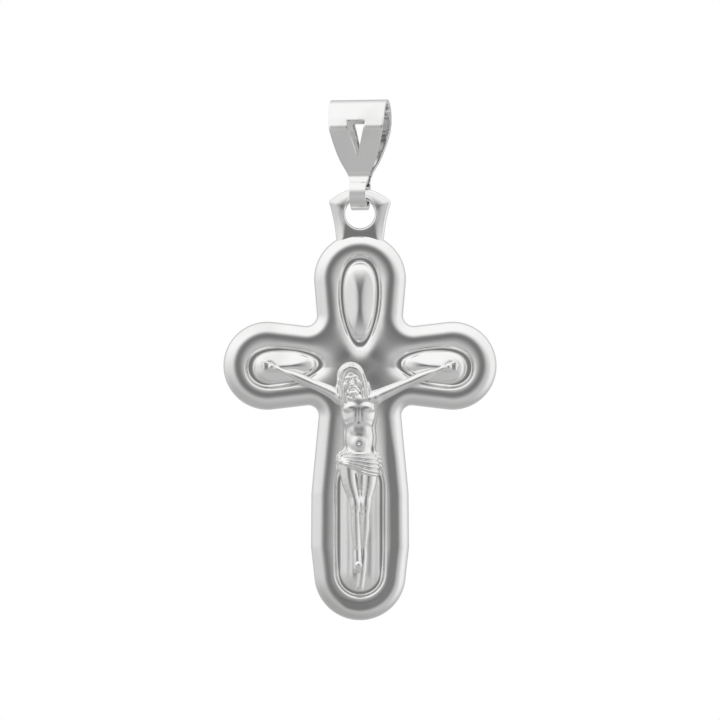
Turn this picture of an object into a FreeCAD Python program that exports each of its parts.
import FreeCAD, Part
import math
import os

# Crucifix pendant in polished silver. A pressed hollow cross with a rounded rim carries a small cast
# figure held by three nails. A flared lug on the top arm hangs in the eye of a folded strip bail.
#
# Frame: millimetres, +Z up, the figure looks along -Y. The origin is the middle of the bail's chain
# passage. The cross is drawn about its own crossing, with x to the right and z up, and with a height h
# that is measured forward from the flat back.

Vector = FreeCAD.Vector

# Cross outline: each arm is the hull of an end circle and a circle at the crossing.
TOP_END_Z = 8.34
TOP_END_R = 4.42
TOP_ROOT_R = 3.72
SIDE_END_X = 8.91
SIDE_END_R = 4.24
SIDE_ROOT_R = 3.2
FOOT_SWELL_Z = 12.5
FOOT_SWELL_R = 4.68
FOOT_END_Z = 17.2
FOOT_END_R = 4.72
FOOT_ROOT_R = 3.5
FOOT_TIP_DROP = 2.9
FOOT_TIP_R = 4.4
CROTCH_R = 1.0

# Cross heights and walls
CROSS_DEPTH = 2.1
FLOOR_H = 1.3
BACK_T = 0.4
WALL = 0.4
RIM_ROUND = 1.15
RIM_WIDTH = 2.3
RIM_INNER_ROUND = 0.72
RIM_CORE_IN = 0.75
RIM_CORE_OUT = 1.75

# Raised lobes: egg outlines on the top and side arms, one long panel on the lower arm
GROOVE = 0.27
TOP_LOBE_HALF_W = 1.45
TOP_LOBE_INNER_Z = 2.1
SIDE_LOBE_HALF_W = 1.42
SIDE_LOBE_INNER_X = 3.8
SIDE_LOBE_TILT = 4.0
LOBE_EGG = 0.12
LOBE_ROUND = 0.25
PANEL_HALF_W = 1.65
PANEL_TOP_R = 1.25
PANEL_TOP_Z = -3.3
PANEL_GROOVE = 0.45

# Hanging lug
HOLE_R = 1.42
HOLE_RISE = 1.89
BAR_HEIGHT = 1.02
LUG_T = 1.4
LUG_BASE_W = 4.5
LUG_TOP_W = 6.15
LUG_SHOULDER_DROP = 1.29
LUG_EDGE_ROUND = 0.28
LUG_CORNER_R = 0.35
LIP = 0.27
LUG_BORDER = 0.8
LUG_DISH = 0.2

# Bail
STRIP_T = 0.4
BAIL_TOP_R = 2.2
BAIL_DROP = 6.6
BAIL_TOP_W = 5.47
BAIL_WAIST_W = 3.5
BAIL_EYE_W = 1.55
BAIL_WAIST_Z = -3.5
BAIL_SHOULDER_Z = 1.3
BAIL_BELLY = 0.17
BAIL_HOLLOW = 0.06
NECK_Z = -4.9
NECK_GAP = 0.5
EYE_CLEARANCE = 0.16
EYE_STRAIGHT_RISE = 0.55
WINDOW_TOP_Z = 0.24
WINDOW_W = 1.89
WINDOW_TIP_Z = -3.0
WINDOW_CORNER_R = 0.22
BAIL_YAW = -10.0

# Figure: lifts are measured forward from the crest of the cross, where its flat back is seated
CHEST_LIFT = 1.5
HEAD_LIFT = 1.9
HEAD_HALF_DEPTH = 1.25
HEAD_X = -0.82
HEAD_Z = -1.55
HEAD_LEAN = -9.0
HAND_INSET = 0.45
SHOULDER_X = 1.85
SHOULDER_Z = -2.95
HAND_Z = -0.1
HIP_Z = -9.3
TOE_INSET = 0.3

# Nails
NAIL_SHANK_R = 0.2
NAIL_HEAD_R = 0.36
NAIL_HEAD_T = 0.3
NAIL_DOME_SHARE = 0.8
NAIL_CLEARANCE = 0.02
NAIL_POINT_DEPTH = 0.65
HAND_SEAT_LIFT = 0.45
FEET_SEAT_LIFT = 0.65
FEET_NAIL_RISE = 2.4
FEET_NAIL_X = -0.15

# Derived places
BACK_Y = CROSS_DEPTH / 2.0
TOP_OUTER_Z = TOP_END_Z + TOP_END_R
HOLE_Z = TOP_OUTER_Z + HOLE_RISE
BAR_Z = HOLE_Z + HOLE_R + BAR_HEIGHT / 2.0
LUG_TOP_Z = HOLE_Z + HOLE_R + BAR_HEIGHT
CROSS_Z = -BAIL_DROP - BAR_Z
FOOT_BOTTOM_Z = -(FOOT_END_Z + FOOT_TIP_DROP + FOOT_TIP_R)
PANEL_BOTTOM_Z = FOOT_BOTTOM_Z + RIM_WIDTH + PANEL_GROOVE
SIDE_LOBE_OUTER_X = SIDE_END_X + SIDE_END_R - RIM_WIDTH - GROOVE
TOP_LOBE_OUTER_Z = TOP_OUTER_Z - RIM_WIDTH - GROOVE
HAND_X = SIDE_END_X - HAND_INSET
TOE_Z = PANEL_BOTTOM_Z + TOE_INSET
FEET_NAIL_Z = TOE_Z + FEET_NAIL_RISE


def place(x, h, z):
    """Point of the cross, from its place about the crossing and its height over the back."""
    return Vector(x, BACK_Y - h, CROSS_Z + z)


def polar(centre, radius, degrees):
    """Point in the plane of the cross at an angle from +x towards +z about (x, z)."""
    angle = math.radians(degrees)
    return centre[0] + radius * math.cos(angle), centre[1] + radius * math.sin(angle)


def hull_face(first, first_r, second, second_r):
    """Face of the hull of two circles that lie in the back plane of the cross."""
    dx, dz = second[0] - first[0], second[1] - first[1]
    heading = math.degrees(math.atan2(dz, dx))
    spread = math.degrees(math.acos((first_r - second_r) / math.hypot(dx, dz)))

    def at(centre, radius, degrees):
        x, z = polar(centre, radius, degrees)
        return place(x, 0.0, z)

    near_left = at(first, first_r, heading + spread)
    near_right = at(first, first_r, heading - spread)
    far_left = at(second, second_r, heading + spread)
    far_right = at(second, second_r, heading - spread)
    edges = [
        Part.Arc(near_left, at(first, first_r, heading + 180.0), near_right).toShape(),
        Part.LineSegment(near_right, far_right).toShape(),
        Part.Arc(far_right, at(second, second_r, heading), far_left).toShape(),
        Part.LineSegment(far_left, near_left).toShape(),
    ]
    return Part.Face(Part.Wire(edges))


def raise_face(face, height):
    """Solid between a face in the plane of the cross and the same face moved forward."""
    return face.extrude(Vector(0, -height, 0))


def move_forward(face, h):
    """Copy of a face of height zero at height h."""
    moved = face.copy()
    moved.translate(Vector(0, -h, 0))
    return moved


def inset(face, distance):
    """Face with its outline moved inwards by a distance, or outwards if it is negative."""
    return Part.Face(face.makeOffset2D(-distance, 0, False, False, False).Wires[0])


def cross_outline():
    """Outline face of the cross, with rounded crotches between the arms."""
    crossing = (0.0, 0.0)
    swell = (0.0, -FOOT_SWELL_Z)
    foot = (0.0, -FOOT_END_Z)
    arms = [
        hull_face(crossing, TOP_ROOT_R, (0.0, TOP_END_Z), TOP_END_R),
        hull_face(crossing, SIDE_ROOT_R, (SIDE_END_X, 0.0), SIDE_END_R),
        hull_face(crossing, SIDE_ROOT_R, (-SIDE_END_X, 0.0), SIDE_END_R),
        hull_face(crossing, FOOT_ROOT_R, swell, FOOT_SWELL_R),
        hull_face(swell, FOOT_SWELL_R, foot, FOOT_END_R),
        hull_face(foot, FOOT_END_R, (0.0, -FOOT_END_Z - FOOT_TIP_DROP), FOOT_TIP_R),
    ]
    solid = raise_face(arms[0], CROSS_DEPTH)
    for arm in arms[1:]:
        solid = solid.fuse(raise_face(arm, CROSS_DEPTH))
    solid = solid.removeSplitter()
    crotches = [edge for edge in solid.Edges if is_crotch(edge)]
    solid = solid.makeFillet(CROTCH_R, crotches)
    back = [face for face in solid.Faces if abs(face.CenterOfMass.y - BACK_Y) < 1e-6]
    return Part.Face(back[0].OuterWire)


def is_crotch(edge):
    """True for a straight edge through the depth of the cross close to the crossing."""
    if len(edge.Vertexes) != 2:
        return False
    start, end = edge.Vertexes[0].Point, edge.Vertexes[1].Point
    across = abs(start.y - end.y)
    reach = math.hypot(start.x, start.z - CROSS_Z)
    return across > CROSS_DEPTH - 1e-6 and reach < TOP_ROOT_R + SIDE_ROOT_R


def egg_face(centre, half_length, half_width, heading):
    """Egg outline at height zero whose fat end points along the heading."""
    count = 24
    points = []
    for step in range(count):
        turn = 2.0 * math.pi * step / count
        along = half_length * math.cos(turn)
        side = half_width * math.sin(turn) * (1.0 + LOBE_EGG * math.cos(turn))
        x = centre[0] + along * math.cos(heading) - side * math.sin(heading)
        z = centre[1] + along * math.sin(heading) + side * math.cos(heading)
        points.append(place(x, 0.0, z))
    curve = Part.BSplineCurve()
    curve.interpolate(Points=points, PeriodicFlag=True)
    return Part.Face(Part.Wire(curve.toShape()))


def lobe_faces(shrink=0.0):
    """Outline faces of the three egg lobes and the long panel, each drawn in by a distance."""
    top_half = (TOP_LOBE_OUTER_Z - TOP_LOBE_INNER_Z) / 2.0
    top_centre = (0.0, TOP_LOBE_INNER_Z + top_half)
    faces = [egg_face(top_centre, top_half - shrink, TOP_LOBE_HALF_W - shrink, math.pi / 2.0)]
    side_half = (SIDE_LOBE_OUTER_X - SIDE_LOBE_INNER_X) / 2.0
    side_x = SIDE_LOBE_INNER_X + side_half
    tilt = math.radians(SIDE_LOBE_TILT)
    for side in (-1, 1):
        heading = -tilt if side > 0 else math.pi + tilt
        faces.append(egg_face((side * side_x, 0.0), side_half - shrink, SIDE_LOBE_HALF_W - shrink, heading))
    low = (0.0, PANEL_BOTTOM_Z + PANEL_HALF_W)
    high = (0.0, PANEL_TOP_Z - PANEL_TOP_R)
    faces.append(hull_face(high, PANEL_TOP_R - shrink, low, PANEL_HALF_W - shrink))
    return faces


def outer_envelope(outline):
    """Whole body of the cross with its rounded front edge, without its hollows."""
    body = raise_face(outline, CROSS_DEPTH)
    front = [face for face in body.Faces if abs(face.CenterOfMass.y + BACK_Y) < 1e-6][0]
    return body.makeFillet(RIM_ROUND, front.OuterWire.Edges)


def make_front_shell(outline, envelope, nail_holes):
    """Pressed front: rounded rim, sunk floor and raised lobes, hollow from behind."""
    shell = envelope.cut(raise_face(outline, BACK_T))
    pocket = raise_face(move_forward(inset(outline, RIM_WIDTH), FLOOR_H), CROSS_DEPTH)
    shell = shell.cut(pocket)
    shell = shell.makeFillet(RIM_INNER_ROUND, crest_inner_edges(shell))
    lobe_depth = CROSS_DEPTH - FLOOR_H + WALL / 2.0
    for face in lobe_faces():
        lobe = raise_face(move_forward(face, FLOOR_H - WALL / 2.0), lobe_depth)
        front = [side for side in lobe.Faces if abs(side.CenterOfMass.y + BACK_Y) < 1e-6][0]
        shell = shell.fuse(lobe.makeFillet(LOBE_ROUND, front.OuterWire.Edges))
    hollow_roof = FLOOR_H - WALL
    shell = shell.cut(raise_face(inset(outline, WALL), hollow_roof))
    rim_core = inset(outline, RIM_CORE_IN).cut(inset(outline, RIM_CORE_OUT))
    shell = shell.cut(raise_face(rim_core, CROSS_DEPTH - WALL))
    for face in lobe_faces(WALL):
        shell = shell.cut(raise_face(face, CROSS_DEPTH - WALL))
    for hole in nail_holes:
        shell = shell.cut(hole)
    return shell


def crest_inner_edges(shell):
    """Edges where the pocket's wall meets the flat crest of the rim."""
    crest = [face for face in shell.Faces if abs(face.BoundBox.Center.y + BACK_Y) < 1e-6][0]
    outer = crest.OuterWire
    return [edge for wire in crest.Wires if not wire.isSame(outer) for edge in wire.Edges]


def make_back_plate(outline):
    """Flat plate that closes the cross from behind."""
    return raise_face(outline, BACK_T)


def lug_profile():
    """Outline face of the lug: flared sides, arched top, foot buried in the top arm."""
    half_base, half_top = LUG_BASE_W / 2.0, LUG_TOP_W / 2.0
    foot_z = TOP_END_Z + TOP_END_R / 2.0
    base_z = TOP_OUTER_Z - RIM_ROUND
    shoulder_z = LUG_TOP_Z - LUG_SHOULDER_DROP
    waist_x = (half_base + half_top) / 2.0 - LUG_CORNER_R / 2.0
    waist_z = (base_z + shoulder_z) / 2.0

    def at(x, z):
        return place(x, BACK_Y - LUG_T / 2.0, z)

    edges = [
        Part.LineSegment(at(-half_base, foot_z), at(half_base, foot_z)),
        Part.LineSegment(at(half_base, foot_z), at(half_base, base_z)),
        Part.Arc(at(half_base, base_z), at(waist_x, waist_z), at(half_top, shoulder_z)),
        Part.Arc(at(half_top, shoulder_z), at(0, LUG_TOP_Z), at(-half_top, shoulder_z)),
        Part.Arc(at(-half_top, shoulder_z), at(-waist_x, waist_z), at(-half_base, base_z)),
        Part.LineSegment(at(-half_base, base_z), at(-half_base, foot_z)),
    ]
    return Part.Face(Part.Wire([edge.toShape() for edge in edges]))


def make_hanging_lug(envelope):
    """Flared ear with a round hole, dished on both faces and shaped to the rim that it is soldered to."""
    profile = lug_profile()
    lug = profile.extrude(Vector(0, -LUG_T, 0))
    half_top = LUG_TOP_W / 2.0
    corners = [edge for edge in lug.Edges if is_through_edge(edge, half_top)]
    lug = lug.makeFillet(LUG_CORNER_R, corners)
    rims = [edge for edge in lug.Edges if is_face_edge(edge, TOP_OUTER_Z)]
    lug = lug.makeFillet(LUG_EDGE_ROUND, rims)
    hole_start = place(0, CROSS_DEPTH + LUG_T, HOLE_Z)
    bore = Part.makeCylinder(HOLE_R, CROSS_DEPTH + 3.0 * LUG_T, hole_start, Vector(0, 1, 0))
    lug = lug.cut(bore)
    lips = [edge for edge in lug.Edges if is_hole_edge(edge)]
    lug = lug.makeFillet(LIP, lips)
    lip_ring = Part.makeCylinder(HOLE_R + LIP, CROSS_DEPTH + 3.0 * LUG_T, hole_start, Vector(0, 1, 0))
    dish = inset(profile, LUG_BORDER)
    for start in (-LUG_DISH, LUG_T - LUG_DISH):
        pocket = dish.copy()
        pocket.translate(Vector(0, -start, 0))
        lug = lug.cut(pocket.extrude(Vector(0, -2.0 * LUG_DISH, 0)).cut(lip_ring))
    return lug.cut(envelope)


def is_through_edge(edge, reach):
    """True for a straight edge through the lug's thickness at its shoulders."""
    box = edge.BoundBox
    return box.YLength > LUG_T - 1e-6 and abs(abs(box.Center.x) - reach) < 1e-3


def is_face_edge(edge, above_z):
    """True for an edge of the lug's outline that lies in one of its faces above a level."""
    box = edge.BoundBox
    flat = box.YLength < 1e-6 and abs(abs(box.Center.y) - LUG_T / 2.0) < 1e-6
    return flat and box.ZMax - CROSS_Z > above_z


def is_hole_edge(edge):
    """True for the round edges of the lug's hole."""
    return isinstance(edge.Curve, Part.Circle) and abs(edge.Curve.Radius - HOLE_R) < 1e-6


def eye_inner_radius():
    """Radius of the bail's eye that clears the rounded corners of the lug's bar under the turned strip."""
    yaw = math.radians(abs(BAIL_YAW))
    half_strip = BAIL_EYE_W / 2.0
    reach = half_strip * math.cos(yaw) + LUG_T / 2.0 * math.sin(yaw)
    sag = HOLE_R - math.sqrt(HOLE_R ** 2 - reach ** 2)
    corner = math.hypot(BAR_HEIGHT / 2.0 + sag, LUG_T / 2.0 + half_strip * math.sin(yaw))
    return corner - LIP * (math.sqrt(2.0) - 1.0) + EYE_CLEARANCE


def bail_side_wire(offset):
    """Closed side outline of the bail, moved outwards from the strip's middle by an offset."""
    top_r = BAIL_TOP_R + offset
    eye_mid = eye_inner_radius() + STRIP_T / 2.0
    eye_r = eye_mid + offset
    neck_half = (NECK_GAP + STRIP_T) / 2.0
    rise = NECK_Z + BAIL_DROP
    neck_mid = (rise ** 2 / (eye_mid - neck_half) - eye_mid - neck_half) / 2.0
    neck_y = neck_mid + neck_half
    neck_r = neck_mid - offset
    span = math.hypot(neck_y, NECK_Z)
    lean = math.asin((BAIL_TOP_R + neck_mid) / span) - math.atan2(neck_y, -NECK_Z)
    normal = (math.cos(lean), -math.sin(lean))
    reach = (neck_y / (neck_mid + eye_mid), rise / (neck_mid + eye_mid))

    def at(side, y, z):
        return Vector(0, side * y, z)

    edges = []
    for side in (1, -1):
        crown = at(side, 0, top_r)
        half_turn = math.radians((90.0 - math.degrees(lean)) / 2.0)
        crown_mid = at(side, top_r * math.sin(half_turn), top_r * math.cos(half_turn))
        leg_top = at(side, top_r * normal[0], top_r * normal[1])
        leg_end = at(side, neck_y - neck_r * normal[0], NECK_Z - neck_r * normal[1])
        neck_mid_point = at(side, neck_y - neck_r, NECK_Z)
        eye_top = at(side, eye_r * reach[0], -BAIL_DROP + eye_r * reach[1])
        eye_side = at(side, eye_r, -BAIL_DROP)
        eye_bottom = at(side, 0, -BAIL_DROP - eye_r)
        half = [
            Part.Arc(crown, crown_mid, leg_top),
            Part.LineSegment(leg_top, leg_end),
            Part.Arc(leg_end, neck_mid_point, eye_top),
            Part.Arc(eye_top, eye_side, eye_bottom),
        ]
        edges.extend(curve.toShape() for curve in half)
    return Part.Wire(Part.__sortEdges__(edges))


def bail_front_face():
    """Front outline of the bail: broad at the chain, drawn in to the width of the eye."""
    half_top, half_waist, half_eye = BAIL_TOP_W / 2.0, BAIL_WAIST_W / 2.0, BAIL_EYE_W / 2.0
    crown_z = BAIL_TOP_R + STRIP_T
    eye_z = EYE_STRAIGHT_RISE - BAIL_DROP
    bottom_z = -BAIL_DROP - eye_inner_radius() - 2.0 * STRIP_T
    upper_mid = ((half_top + half_waist) / 2.0 + BAIL_BELLY, (BAIL_SHOULDER_Z + BAIL_WAIST_Z) / 2.0)
    lower_mid = ((half_waist + half_eye) / 2.0 - BAIL_HOLLOW, (BAIL_WAIST_Z + eye_z) / 2.0)

    def at(side, x, z):
        return Vector(side * x, -BAIL_TOP_W, z)

    edges = [Part.LineSegment(at(-1, half_top, crown_z), at(1, half_top, crown_z))]
    for side in (1, -1):
        shoulder = at(side, half_top, BAIL_SHOULDER_Z)
        waist = at(side, half_waist, BAIL_WAIST_Z)
        eye = at(side, half_eye, eye_z)
        edges.append(Part.LineSegment(at(side, half_top, crown_z), shoulder))
        edges.append(Part.Arc(shoulder, at(side, *upper_mid), waist))
        edges.append(Part.Arc(waist, at(side, *lower_mid), eye))
        edges.append(Part.LineSegment(eye, at(side, half_eye, bottom_z)))
    edges.append(Part.LineSegment(at(1, half_eye, bottom_z), at(-1, half_eye, bottom_z)))
    return Part.Face(Part.Wire(Part.__sortEdges__([edge.toShape() for edge in edges])))


def bail_window():
    """Prism of the V-shaped window that goes through both legs of the bail."""
    half = WINDOW_W / 2.0
    depth = 2.0 * BAIL_TOP_W
    corners = [(-half, WINDOW_TOP_Z), (half, WINDOW_TOP_Z), (0.0, WINDOW_TIP_Z)]
    points = [Vector(x, -BAIL_TOP_W, z) for x, z in corners]
    prism = Part.Face(Part.makePolygon(points + points[:1])).extrude(Vector(0, depth, 0))
    top_corners = [edge for edge in prism.Edges if edge.BoundBox.YLength > BAIL_TOP_W
                   and abs(edge.BoundBox.Center.z - WINDOW_TOP_Z) < 1e-6]
    return prism.makeFillet(WINDOW_CORNER_R, top_corners)


def make_bail():
    """Strip folded into one closed loop: a round chain passage on top, a neck and a small eye."""
    ring = Part.Face(bail_side_wire(STRIP_T / 2.0)).cut(Part.Face(bail_side_wire(-STRIP_T / 2.0)))
    ring.translate(Vector(-BAIL_TOP_W, 0, 0))
    band = ring.extrude(Vector(2.0 * BAIL_TOP_W, 0, 0))
    front = bail_front_face().extrude(Vector(0, 2.0 * BAIL_TOP_W, 0))
    bail = band.common(front).cut(bail_window())
    bail.rotate(Vector(0, 0, 0), Vector(0, 0, 1), BAIL_YAW)
    return bail


def lifted(x, lift, z):
    """Point of the figure, from its place about the crossing and its lift over the crest."""
    return place(x, CROSS_DEPTH + lift, z)


def ring_wire(centre, across, half_across, half_height):
    """Closed smooth oval about (x, lift, z): its width runs along a direction, its height forward."""
    x, lift, z = centre
    count = 12
    points = []
    for step in range(count):
        turn = 2.0 * math.pi * step / count
        side = half_across * math.cos(turn)
        rise = half_height * math.sin(turn)
        points.append(lifted(x + side * across[0], lift + rise, z + side * across[1]))
    curve = Part.BSplineCurve()
    curve.interpolate(Points=points, PeriodicFlag=True)
    return Part.Wire(curve.toShape())


def body_loft(rings):
    """Solid through ovals that lie level: each is (x, z, half width, middle lift, half height)."""
    wires = [ring_wire((x, lift, z), (1.0, 0.0), half, height) for x, z, half, lift, height in rings]
    return Part.makeLoft(wires, True, False)


def arm_loft(side):
    """Arm and open hand of the figure, from inside the shoulder out to the fingertips."""
    reach = HAND_X - SHOULDER_X
    climb = HAND_Z - SHOULDER_Z
    stations = [
        (-0.10, -0.05, 0.70, 0.45, 0.75),
        (0.10, 0.02, 0.62, 0.40, 0.68),
        (0.30, 0.26, 0.50, 0.30, 0.52),
        (0.50, 0.50, 0.46, 0.25, 0.46),
        (0.62, 0.64, 0.46, 0.25, 0.45),
        (0.90, 0.91, 0.32, 0.15, 0.35),
        (1.00, 1.00, 0.46, 0.12, 0.36),
        (1.08, 1.05, 0.44, 0.12, 0.32),
        (1.16, 1.10, 0.28, 0.12, 0.22),
    ]
    wires = []
    for along, up, half, lift, height in stations:
        x = side * (SHOULDER_X + along * reach)
        wires.append(ring_wire((x, lift, SHOULDER_Z + up * climb), (0.0, 1.0), half, height))
    return Part.makeLoft(wires, True, False)


def leg_loft(stations):
    """Leg from inside the hip to the toes: each station is (share, x, half width, lift, half height)."""
    length = TOE_Z - HIP_Z
    return body_loft([(x, HIP_Z + share * length, half, lift, height)
                      for share, x, half, lift, height in stations])


def ball(centre, half_x, half_h, half_z):
    """Ellipsoid of the figure about (x, lift, z)."""
    sphere = Part.makeSphere(1.0)
    stretch = FreeCAD.Matrix()
    stretch.scale(half_x, half_h, half_z)
    shape = sphere.transformGeometry(stretch)
    shape.translate(lifted(*centre))
    return shape


def torso_rings():
    """Level ovals of the trunk from the neck to below the hips."""
    deep = CHEST_LIFT - 0.2
    return [
        (-0.30, -2.55, 0.80, 0.35, 0.80),
        (-0.25, -3.05, 1.70, 0.30, 0.95),
        (-0.10, -4.30, 1.72, 0.20, deep),
        (-0.05, -5.60, 1.55, 0.20, deep - 0.10),
        (0.00, -7.10, 1.45, 0.20, deep - 0.20),
        (-0.15, -8.40, 1.80, 0.20, deep - 0.15),
        (-0.20, HIP_Z - 0.2, 2.05, 0.20, deep),
        (-0.10, HIP_Z - 1.1, 1.85, 0.20, deep - 0.10),
    ]


def cloth_rings():
    """Level ovals of the loincloth, a little proud of the hips."""
    return [
        (-0.20, HIP_Z + 0.95, 2.00, 0.20, 1.25),
        (-0.22, HIP_Z + 0.10, 2.18, 0.25, 1.42),
        (-0.15, HIP_Z - 0.80, 2.12, 0.25, 1.40),
        (0.00, HIP_Z - 1.45, 1.85, 0.20, 1.20),
    ]


def make_corpus(nail_recesses):
    """Cast figure with outstretched arms and crossed feet, flat behind where it is soldered on."""
    middle = (HEAD_X, HEAD_LIFT - HEAD_HALF_DEPTH, HEAD_Z)
    head = ball(middle, 1.05, HEAD_HALF_DEPTH, 1.65)
    hair = ball((HEAD_X, middle[1] - 0.2, HEAD_Z - 0.3), 1.45, 1.15, 2.05)
    head_middle = lifted(*middle)
    left_leg = [
        (-0.04, -1.05, 0.90, 0.25, 0.95),
        (0.15, -0.95, 0.92, 0.25, 1.00),
        (0.34, -0.40, 0.66, 0.45, 1.00),
        (0.52, -0.42, 0.62, 0.35, 0.80),
        (0.69, -0.26, 0.42, 0.25, 0.60),
        (0.80, -0.28, 0.50, 0.30, 0.70),
        (0.87, -0.35, 0.48, 0.20, 0.45),
    ]
    right_leg = [
        (-0.04, 1.00, 0.90, 0.25, 0.95),
        (0.15, 0.98, 0.92, 0.25, 1.00),
        (0.36, 0.58, 0.66, 0.40, 0.95),
        (0.52, 0.50, 0.60, 0.25, 0.75),
        (0.69, 0.30, 0.42, 0.10, 0.50),
        (0.80, 0.45, 0.48, 0.10, 0.50),
        (1.00, 0.20, 0.42, 0.05, 0.30),
    ]
    figure = body_loft(torso_rings())
    others = [
        body_loft(cloth_rings()),
        leg_loft(left_leg),
        leg_loft(right_leg),
        arm_loft(-1),
        arm_loft(1),
        ball((-1.85, 0.8, HIP_Z + 0.2), 0.55, 0.75, 0.70),
    ]
    for shape in (head, hair):
        shape.rotate(head_middle, Vector(0, 1, 0), HEAD_LEAN)
        others.append(shape)
    room = 2.0 * (TOP_OUTER_Z - FOOT_BOTTOM_Z)
    behind = Part.makeBox(room, room, room, Vector(-room / 2.0, BACK_Y - CROSS_DEPTH, CROSS_Z - room / 2.0))
    figure = figure.cut(behind)
    for shape in others:
        figure = figure.fuse(shape.cut(behind))
    for recess in nail_recesses:
        figure = figure.cut(recess)
    return figure


def make_nail(x, z, seat_lift, grow=0.0):
    """Nail through the figure at (x, z): round shank and low domed head; grow makes its clearance hole."""
    forward = Vector(0, -1, 0)
    seat = lifted(x, seat_lift, z)
    point = lifted(x, -NAIL_POINT_DEPTH - grow, z)
    length = seat_lift + NAIL_POINT_DEPTH + grow
    shank = Part.makeCylinder(NAIL_SHANK_R + grow, length, point, forward)
    if grow:
        return shank.fuse(Part.makeCylinder(NAIL_HEAD_R + grow, CHEST_LIFT, seat, forward))
    head = Part.makeCylinder(NAIL_HEAD_R, NAIL_HEAD_T, seat, forward)
    nail = shank.fuse(head).removeSplitter()
    top_y = seat.y - NAIL_HEAD_T
    crown = [edge for edge in nail.Edges if abs(edge.BoundBox.YMax - top_y) < 1e-6]
    return nail.makeFillet(NAIL_HEAD_T * NAIL_DOME_SHARE, crown)


def export(name, shape):
    """Write one node as a STEP file after checking that it is sound."""
    solids = shape.Solids
    if not solids or not shape.isValid():
        raise ValueError(f"{name} is not a valid solid")
    result = solids[0] if len(solids) == 1 else Part.makeCompound(solids)
    result.exportStep(os.path.join("parts", f"{name}.step"))
    print(f"{name}: {len(solids)} solid, {result.Volume:.2f} mm3")


os.makedirs("parts", exist_ok=True)
OUTLINE = cross_outline()
ENVELOPE = outer_envelope(OUTLINE)
NAIL_PLACES = {
    "nail_left_hand": (-HAND_X, HAND_Z, HAND_SEAT_LIFT),
    "nail_right_hand": (HAND_X, HAND_Z, HAND_SEAT_LIFT),
    "nail_feet": (FEET_NAIL_X, FEET_NAIL_Z, FEET_SEAT_LIFT),
}
NAIL_CUTS = [make_nail(x, z, seat, NAIL_CLEARANCE) for x, z, seat in NAIL_PLACES.values()]

export("front_shell", make_front_shell(OUTLINE, ENVELOPE, NAIL_CUTS))
export("back_plate", make_back_plate(OUTLINE))
export("hanging_lug", make_hanging_lug(ENVELOPE))
export("corpus", make_corpus(NAIL_CUTS))
for nail_name, (nail_x, nail_z, nail_seat) in NAIL_PLACES.items():
    export(nail_name, make_nail(nail_x, nail_z, nail_seat))
export("bail", make_bail())
